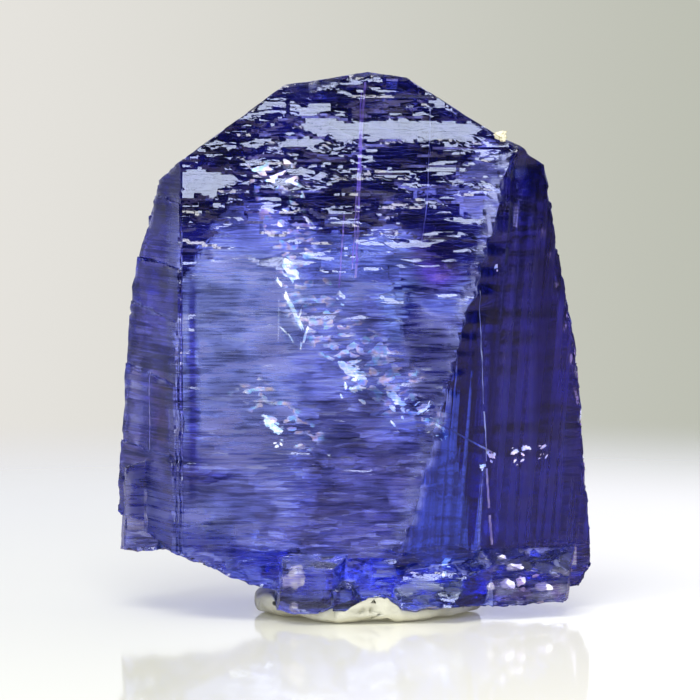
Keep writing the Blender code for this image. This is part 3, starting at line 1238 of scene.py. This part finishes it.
@dataclass(frozen=True)
class InclusionFinish:
    """What is sealed in the stone. Its glow is painted light, standing in for the light that it catches in
    the crystal.
    """

    name: str
    first: Colour
    second: Colour
    # painted light: emission in place of the light that the inclusion catches inside the stone
    glow: float
    mark_scale: float = 2500.0
    rough: float = 0.35
    clear_share: float = 0.0
    film_scale: float = 3800.0
    film_share: float = 0.45
    flecks: Triple = (3600.0, 7000.0, 1.0)
    rainbow: tuple[tuple[float, Colour], ...] = (
        (0.36, (0.2, 0.75, 1.0)), (0.44, (0.5, 0.4, 1.0)), (0.52, (0.9, 0.9, 1.0)),
        (0.59, (1.0, 0.45, 0.75)), (0.66, (1.0, 0.55, 0.3)),
    )
    patterns: SharedPatterns = field(default_factory=SharedPatterns)

    def make(self) -> bpy.types.Material:
        """Return the inclusion's material."""
        material, tree, shader = new_material(self.name)
        shader.inputs["Emission Strength"].default_value = self.glow
        place = object_place(tree)
        marks = self.patterns.shown(tree, "mottle", Vector=place, Scale=self.mark_scale, From=0.38, To=0.62)
        colour = blend(tree, marks, self.first, self.second)
        if self.clear_share > 0.0:
            colour = blend(tree, self.film_share, colour, self._film(tree, place))
            feed(tree, shader, Alpha=self._cover(tree))
        feed(tree, shader, Base_Color=colour, Emission_Color=colour, Roughness=self.rough)
        return material

    def _film(self, tree: bpy.types.NodeTree, place: bpy.types.NodeSocket) -> bpy.types.NodeSocket:
        """Return thin flecks of the rainbow.

        Args:
            tree: the material's tree.
            place: the object coordinates.

        Returns:
            The colour's socket.
        """
        film = add_node(tree, "TexNoise")
        feed(tree, film, Vector=place, Scale=self.film_scale, Detail=1.0)
        ramp = add_node(tree, "ValToRGB")
        stops = ramp.color_ramp.elements
        stops.remove(stops[-1])
        for number, (at, tone) in enumerate(self.rainbow):
            stop = stops.new(at) if number else stops[0]
            stop.position = at
            stop.color = (*tone, 1.0)
        return feed(tree, ramp, Fac=film.outputs[0]).outputs["Color"]

    def _cover(self, tree: bpy.types.NodeTree) -> bpy.types.NodeSocket:
        """Return how much of the inclusion hides what is behind it, thinning out towards its rim."""
        rim = split(tree, "SeparateColor", painted(tree, "finish"))["Red"]
        flecks = self.patterns.shown(
            tree, "plates", "Shade", Vector=wall_place(tree), Stretch=self.flecks, Lean=0.0
        )
        shown = smooth_range(tree, flecks, Contrast(self.clear_share, min(1.0, self.clear_share + 0.3)))
        return math_node(tree, "MULTIPLY", shown, rim)


@dataclass
class SealedInclusions:
    """The needles, tube, flakes, healed cracks and pearly shells inside the crystal, in millimetres."""

    needles: tuple[Needle, ...] = (
        Needle(((0.46, 0.3, 21.2), (0.3, 0.32, 19.2), (0.16, 0.35, 15.3), (0.08, 0.45, 13.6)), 0.045),
        Needle(((0.3, 0.35, 20.9), (0.2, 0.35, 18.2), (0.02, 0.4, 15.0), (-0.06, 0.5, 13.9)), 0.025),
        Needle(((-0.36, 0.4, 16.1), (-0.5, 0.45, 14.2), (-0.58, 0.5, 13.2)), 0.03),
    )
    threads: tuple[Needle, ...] = (
        Needle(((3.0, 0.3, 20.2), (2.88, 0.35, 16.5), (2.66, 0.45, 14.9)), 0.016),
        Needle(((-2.92, 0.3, 12.8), (-2.95, 0.35, 11.0)), 0.02),
        Needle(((3.32, 0.15, 7.9), (4.4, 0.15, 7.25), (5.44, 0.15, 6.63)), 0.035),
        Needle(((-8.0, 0.2, 9.7), (-8.05, 0.2, 6.6)), 0.018),
    )
    tube: tuple[Needle, ...] = (
        Needle(((4.86, 0.3, 13.1), (5.05, 0.3, 8.6)), 0.013),
        Needle(((5.1, 0.15, 8.3), (5.2, 0.15, 6.3)), 0.022),
        Needle(((5.22, 0.15, 6.0), (5.33, 0.15, 4.4)), 0.045),
        Needle(((5.36, 0.15, 4.1), (5.46, 0.15, 2.9)), 0.05),
    )
    flakes: tuple[Flake, ...] = (
        Flake((-0.15, 0.2, 10.0), 0.75, 0.3, -32.0),
        Flake((0.25, 0.2, 9.8), 0.55, 0.26, -18.0),
        Flake((0.05, 0.25, 10.3), 0.34, 0.12, 20.0),
        Flake((1.6, 0.2, 8.95), 0.6, 0.28, -40.0),
        Flake((1.85, 0.2, 8.7), 0.4, 0.18, -15.0),
        Flake((-3.25, 0.2, 7.85), 0.5, 0.22, -42.0),
        Flake((-3.0, 0.2, 7.6), 0.4, 0.2, -30.0),
        Flake((-2.45, 0.3, 13.95), 0.8, 0.3, -50.0),
        Flake((-2.3, 0.3, 12.2), 1.2, 0.16, -64.0),
        Flake((-0.45, 0.35, 12.9), 0.3, 0.14, -30.0),
        Flake((2.7, 0.25, 8.4), 0.5, 0.1, 35.0),
        Flake((3.4, 0.2, 7.75), 0.3, 0.12, -30.0),
        Flake((5.4, 0.2, 6.5), 0.26, 0.16, -20.0),
        Flake((6.35, 0.15, 6.6), 0.3, 0.14, 15.0),
        Flake((6.8, 0.15, 6.75), 0.3, 0.14, -10.0),
        Flake((7.5, 0.15, 6.75), 0.26, 0.1, 25.0),
        Flake((5.55, 0.15, 14.05), 0.14, 0.1, 90.0),
        Flake((5.05, 0.15, 6.1), 0.16, 0.16, 0.0),
        Flake((3.6, 0.2, 2.35), 0.3, 0.16, 30.0),
    )
    pearls: tuple[Flake, ...] = (
        Flake((5.4, 0.08, 1.35), 0.34, 0.28, 20.0),
        Flake((5.85, 0.08, 2.4), 0.4, 0.2, 8.0),
        Flake((6.35, 0.08, 2.05), 0.7, 0.26, 4.0),
        Flake((6.1, 0.08, 1.4), 0.6, 0.42, -18.0),
        Flake((6.6, 0.08, 1.5), 0.44, 0.32, 40.0),
        Flake((7.5, 0.08, 1.25), 0.7, 0.3, -6.0),
        Flake((-2.3, 0.3, 1.85), 0.9, 0.7, 20.0),
    )
    veils: tuple[Veil, ...] = (
        Veil("veil_upper", (-2.5, -3.55, 15.4), (0.3, 0.02, -0.95), (0.97, -0.1, 0.2), 6.6, 2.0),
        Veil("veil_middle", (0.0, -3.45, 10.9), (0.7, 0.03, -0.7), (0.6, -0.15, 0.7), 6.4, 2.4),
        Veil("veil_cross", (1.9, -3.3, 8.9), (0.85, 0.06, -0.5), (0.5, -0.2, 0.8), 4.2, 1.0),
        Veil("veil_low", (-2.9, -3.5, 8.2), (0.75, 0.03, -0.65), (0.6, -0.15, 0.7), 4.2, 1.4),
    )
    rod_steps: int = 10
    veil_thickness: float = 0.012
    patterns: SharedPatterns = field(default_factory=SharedPatterns)

    def build(self, crystal: bpy.types.Object) -> list[bpy.types.Object]:
        """Make and dress every inclusion.

        Args:
            crystal: the finished crystal.

        Returns:
            The inclusions' objects.
        """
        stone = BVHTree.FromObject(crystal, bpy.context.evaluated_depsgraph_get())
        look = partial(InclusionFinish, patterns=self.patterns)
        # The glow of each inclusion below is painted light.
        lilac = look("lilac_needle", (0.5, 0.3, 0.95), (0.8, 0.6, 1.0), 0.42)
        pale = look("pale_thread", (0.4, 0.42, 0.95), (0.75, 0.78, 1.0), 0.25)
        white = look("white_tube", (0.55, 0.55, 0.9), (0.95, 0.95, 0.95), 0.4)
        bright = look("bright_flake", (0.55, 0.75, 1.0), (1.0, 1.0, 1.0), 1.1, mark_scale=6000.0)
        pearly = look("pearly_shell", (0.45, 0.42, 0.85), (0.9, 0.86, 1.0), 0.28)
        film = look("healed_crack", (0.45, 0.6, 1.0), (0.95, 0.97, 1.0), 0.5, clear_share=0.58).make()
        made = [
            self._rods(stone, "lilac_needles", self.needles, lilac),
            self._rods(stone, "pale_threads", self.threads, pale),
            self._rods(stone, "white_tube", self.tube, white),
            self._lumps(stone, "bright_flakes", self.flakes, bright, 0.35, 6, 0.9),
            self._lumps(stone, "pearly_shells", self.pearls, pearly, 0.4, 2, 0.45),
        ]
        return made + [self._sheet(veil, film) for veil in self.veils]

    @staticmethod
    def _sealed(stone: BVHTree, point: Triple) -> Vector:
        """Return the place, in metres, at this depth behind the surface that the camera sees.

        Args:
            stone: the crystal's surface.
            point: how far across, how deep and how high, in millimetres.

        Returns:
            The place inside the stone.
        """
        across, deep, up = point
        seen = stone.ray_cast(Vector((across, -20.0, up)) * MM, Vector((0.0, 1.0, 0.0)))[0]
        return seen + Vector((0.0, deep * MM, 0.0))

    def _rods(
        self, stone: BVHTree, name: str, needles: tuple[Needle, ...], finish: InclusionFinish
    ) -> bpy.types.Object:
        """Make a set of needles as one object.

        Args:
            stone: the crystal's surface.
            name: the object's name.
            needles: the needles.
            finish: what they look like.

        Returns:
            The object.
        """
        bm = bmesh.new()
        for needle in needles:
            spots = [self._sealed(stone, point) for point in needle.points]
            turn = (spots[1] - spots[0]).to_track_quat("Z", "Y").to_matrix().to_4x4()
            spot = Matrix.Translation(spots[0]) @ turn
            ring = bmesh.ops.create_circle(
                bm, cap_ends=True, segments=8, radius=needle.radius * MM, matrix=spot
            )
            cap = ring["verts"][0].link_faces[0]
            for start, stop in zip(spots, spots[1:]):
                for step in range(self.rod_steps):
                    grown = bmesh.ops.extrude_face_region(bm, geom=[cap])["geom"]
                    cap = next(part for part in grown if isinstance(part, bmesh.types.BMFace))
                    sway = 0.012 * MM * math.sin(step * 2.1 + start.z * 4000.0)
                    move = (stop - start) / self.rod_steps + Vector((sway, 0.0, 0.0))
                    bmesh.ops.translate(bm, vec=move, verts=list(cap.verts))
        bmesh.ops.holes_fill(bm, edges=[edge for edge in bm.edges if edge.is_boundary])
        bmesh.ops.recalc_face_normals(bm, faces=bm.faces)
        made = link_object(name, bm)
        made.data.materials.append(finish.make())
        return made

    def _lumps(
        self, stone: BVHTree, name: str, flakes: tuple[Flake, ...], finish: InclusionFinish, depth: float,
        shards: int, dent: float,
    ) -> bpy.types.Object:
        """Make a set of small ragged lumps as one object.

        Args:
            stone: the crystal's surface.
            name: the object's name.
            flakes: the lumps.
            finish: what they look like.
            depth: their depth as a share of their thickness.
            shards: how many shards each one is broken into.
            dent: how deeply each one is dented, as a share of its size.

        Returns:
            The object.
        """
        bm = bmesh.new()
        for number, flake in enumerate(flakes):
            for shard in range(shards):
                chance = noise.cell_vector(Vector((number + 0.5, shard + 0.5, 7.5)))
                size = 1.0 if shard == 0 else 0.2 + 0.35 * chance.y
                loose_deg = 90.0 * (chance.z - 0.5) * (shard > 0)
                turn = Matrix.Rotation(math.radians(loose_deg - flake.turn_deg), 4, "Y")
                made = bmesh.ops.create_icosphere(bm, subdivisions=3, radius=0.5 * MM)["verts"]
                seed = Vector((number * 3.0, shard * 5.0, 0.0))
                for vert in made:
                    vert.co *= 1.0 + dent * noise.fractal(vert.co / MM * 3.1 + seed, 0.8, 2.3, 4)
                scale = Vector((flake.length, flake.thickness * depth, flake.thickness)) * size
                bmesh.ops.scale(bm, vec=scale, verts=made)
                across, deep, up = flake.middle
                if shard:
                    spread = min(0.9, 1.3 * flake.length)
                    across += spread * (chance.x - 0.5)
                    up += spread * (noise.cell(Vector((number + 0.5, shard + 0.5, 9.5))) - 0.5)
                spot = Matrix.Translation(self._sealed(stone, (across, deep, up)))
                bmesh.ops.transform(bm, matrix=spot @ turn, verts=made)
        bmesh.ops.recalc_face_normals(bm, faces=bm.faces)
        lumps = link_object(name, bm)
        lumps.data.materials.append(finish.make())
        return lumps

    def _sheet(self, veil: Veil, dressed: bpy.types.Material) -> bpy.types.Object:
        """Make a healed crack, a thin wavy sheet whose cover fades to nothing at its rim.

        Args:
            veil: the crack.
            dressed: its material.

        Returns:
            The sheet.
        """
        bm = bmesh.new()
        bmesh.ops.create_grid(bm, x_segments=48, y_segments=20, size=0.5)
        cover = bm.verts.layers.float_color.new("finish")
        along = Vector(veil.along).normalized()
        side = (Vector(veil.across) - along * along.dot(Vector(veil.across))).normalized()
        out = along.cross(side)
        for vert in bm.verts:
            u, v = vert.co.x, vert.co.y
            inner = 1.0 - max(abs(u), abs(v)) * 2.0
            kept = eased(inner + 0.25 * noise.noise(Vector((u * 7.0, v * 4.0, veil.length))), 0.0, 0.35)
            vert[cover] = (kept, 0.0, 0.0, 1.0)
            wave = 0.12 * noise.fractal(Vector((u * 5.0, v * 3.0, veil.width)), 0.9, 2.0, 3)
            flat = along * u * veil.length + side * v * veil.width
            vert.co = (Vector(veil.middle) + flat + out * wave) * MM
        bmesh.ops.solidify(bm, geom=bm.faces[:], thickness=self.veil_thickness * MM)
        bmesh.ops.recalc_face_normals(bm, faces=bm.faces)
        sheet = link_object(veil.name, bm)
        sheet.data.materials.append(dressed)
        return sheet


@dataclass(frozen=True)
class FloorFinish:
    """Glossy white floor.

    It is darker to the left, a painted shade, and darker where the stone mirrors it. It glows faintly,
    painted light that lifts the shade around the stone, and it fades into the backdrop towards its rim.
    """

    white: Colour = (0.98, 0.96, 0.84)
    # painted shade: the floor darkens towards the left
    left: Colour = (0.71, 0.705, 0.57)
    left_mm: float = -10.0
    right_mm: float = 8.0
    specular: float = 0.12
    # painted light: a faint warm glow that lifts the shade on the floor
    glow: float = 0.06
    glow_tint: Colour = (1.0, 0.98, 0.88)
    shaded: Colour = (0.27, 0.21, 0.3)
    gloss: Contrast = Contrast(0.3, 0.7, 0.05, 0.09)
    fade_from_mm: float = 34.0
    fade_to_mm: float = 76.0

    def make(self) -> bpy.types.Material:
        """Return the floor's material."""
        material, tree, shader = new_material("floor_white")
        shader.inputs["Specular IOR Level"].default_value = self.specular
        shader.inputs["Emission Strength"].default_value = self.glow
        path = add_node(tree, "LightPath").outputs
        bright = math_node(tree, "MAXIMUM", path["Is Camera Ray"], path["Is Diffuse Ray"])
        place = object_place(tree)
        across = Contrast(self.left_mm * MM, self.right_mm * MM)
        across = smooth_range(tree, split(tree, "SeparateXYZ", place)["X"], across)
        colour = blend(tree, bright, self.shaded, blend(tree, across, self.left, self.white))
        rim = Contrast(self.fade_to_mm * MM, self.fade_from_mm * MM)
        fade = smooth_range(tree, vector_node(tree, "LENGTH", place), rim)
        clouds = add_node(tree, "TexNoise")
        feed(tree, clouds, Vector=place, Scale=60.0, Detail=2.0)
        gloss = smooth_range(tree, clouds.outputs[0], self.gloss)
        feed(tree, shader, Base_Color=colour, Emission_Color=self.glow_tint, Roughness=gloss, Alpha=fade)
        return material


@dataclass
class Studio:
    """The floor, the room's light and the camera.

    The room's ranges are over the way a ray looks: to the right, away from the camera and up.
    """

    lens_mm: float = 220.0
    distance_mm: float = 171.0
    elevation_deg: float = 5.0
    aim_mm: Triple = (-0.14, 0.1, 10.44)
    floor_radius_mm: float = 78.0
    backdrop: tuple[Colour, Colour] = ((0.80, 0.78, 0.74), (0.50, 0.515, 0.445))
    backdrop_change: Contrast = Contrast(-0.11, 0.11)
    behind: Contrast = Contrast(-0.2, 0.85, 0.05, 0.95)
    far_left: Contrast = Contrast(-0.92, -0.6, 0.15, 1.0)
    above: Contrast = Contrast(0.35, 0.95, 0.0, 0.8)
    stone_light: Colour = (0.92, 0.95, 1.21)
    floor_light: Colour = (0.62, 0.62, 0.6)

    def build(self) -> None:
        """Make the floor, the light and the camera."""
        self._floor()
        self._world()
        self._panel("soft_box", (-25.0, -80.0, 125.0), 110.0, 60.0, 7.5, (1.0, 1.0, 1.0))
        self._panel("front_panel", (-16.0, -150.0, 62.0), 90.0, 34.0, 10.0, (0.68, 0.76, 1.0))
        self._camera()

    def _floor(self) -> None:
        """Make the round pale floor."""
        bm = bmesh.new()
        bmesh.ops.create_circle(bm, cap_ends=True, segments=128, radius=self.floor_radius_mm * MM)
        floor = link_object("floor", bm, smooth=False)
        floor.data.materials.append(FloorFinish().make())

    def _world(self) -> None:
        """Light the room: a pale backdrop, bright behind and above, darker at the sides and in front."""
        world = bpy.data.worlds.new("studio")
        bpy.context.scene.world = world
        world.use_nodes = True
        tree = world.node_tree
        towards = split(tree, "SeparateXYZ", add_node(tree, "TexCoord").outputs["Generated"])
        shown = blend(tree, smooth_range(tree, towards["X"], self.backdrop_change), *self.backdrop)
        behind, left, above = (
            smooth_range(tree, towards[axis], change)
            for axis, change in (("Y", self.behind), ("X", self.far_left), ("Z", self.above))
        )
        glow = math_node(tree, "MAXIMUM", math_node(tree, "MULTIPLY", behind, left), above)
        path = add_node(tree, "LightPath").outputs
        lit = vector_node(tree, "SCALE", self.stone_light, glow)
        colour = blend(tree, path["Is Diffuse Ray"], lit, self.floor_light)
        colour = blend(tree, path["Is Camera Ray"], colour, shown)
        feed(tree, tree.nodes["Background"], Color=colour)

    @staticmethod
    def _panel(
        name: str, place_mm: Triple, width_mm: float, height_mm: float, glow: float, colour: Colour
    ) -> None:
        """Make a rectangular area light that looks at the crystal.

        Args:
            name: the light's name.
            place_mm: where it stands.
            width_mm: its width.
            height_mm: its height.
            glow: how bright its face is, where 1 is white.
            colour: its colour.
        """
        data = bpy.data.lights.new(name, "AREA")
        data.shape = "RECTANGLE"
        data.size = width_mm * MM
        data.size_y = height_mm * MM
        data.energy = glow * math.pi * data.size * data.size_y
        data.color = colour
        light = bpy.data.objects.new(name, data)
        light.location = Vector(place_mm) * MM
        towards = Vector((0.0, 0.0, 11.0 * MM)) - light.location
        light.rotation_euler = towards.to_track_quat("-Z", "Y").to_euler()
        bpy.context.scene.collection.objects.link(light)

    def _camera(self) -> None:
        """Make the camera at the photograph's angle."""
        data = bpy.data.cameras.new("camera")
        data.lens = self.lens_mm
        data.sensor_width = 36.0
        data.clip_start = 0.005
        data.clip_end = 5.0
        camera = bpy.data.objects.new("camera", data)
        tip = math.radians(self.elevation_deg)
        back = Vector((0.0, -math.cos(tip), math.sin(tip)))
        camera.location = (Vector(self.aim_mm) + back * self.distance_mm) * MM
        camera.rotation_euler = (-back).to_track_quat("-Z", "Y").to_euler()
        bpy.context.scene.collection.objects.link(camera)
        bpy.context.scene.camera = camera


def place_piece(piece: bpy.types.Object, node: str | None = None) -> None:
    """Fix a piece to the specimen and report it.

    Args:
        piece: the finished piece.
        node: the plain node that it stands for, if any.
    """
    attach(piece, "root")
    if node:
        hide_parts(node)
    LOG.info("%s: %d triangles", piece.name, sum(len(face.vertices) - 2 for face in piece.data.polygons))


def main() -> None:
    """Build the studio, the stone with what is sealed in it, its pad and the crumb."""
    logging.basicConfig(level=logging.INFO, format="%(message)s")
    scene = bpy.context.scene
    scene.view_settings.view_transform = "Standard"
    scene.cycles.max_bounces = 10
    scene.cycles.transmission_bounces = 10
    scene.cycles.glossy_bounces = 4
    scene.cycles.transparent_max_bounces = 8
    Studio().build()
    patterns = SharedPatterns()
    crystal = CrystalMesh().build()
    crystal.data.materials.clear()
    crystal.data.materials.append(TanzaniteFinish(patterns=patterns).make())
    place_piece(crystal, "crystal")
    for inclusion in SealedInclusions(patterns=patterns).build(crystal):
        place_piece(inclusion)
    pad = PuttyPad().build(crystal)
    pad.data.materials.append(PuttyFinish(patterns=patterns).make())
    place_piece(pad, "putty_pad")
    crumb = RockCrumb().build()
    crumb.data.materials.append(RockFinish(patterns=patterns).make())
    place_piece(crumb, "matrix_crumb")


if __name__ == "__main__":
    main()
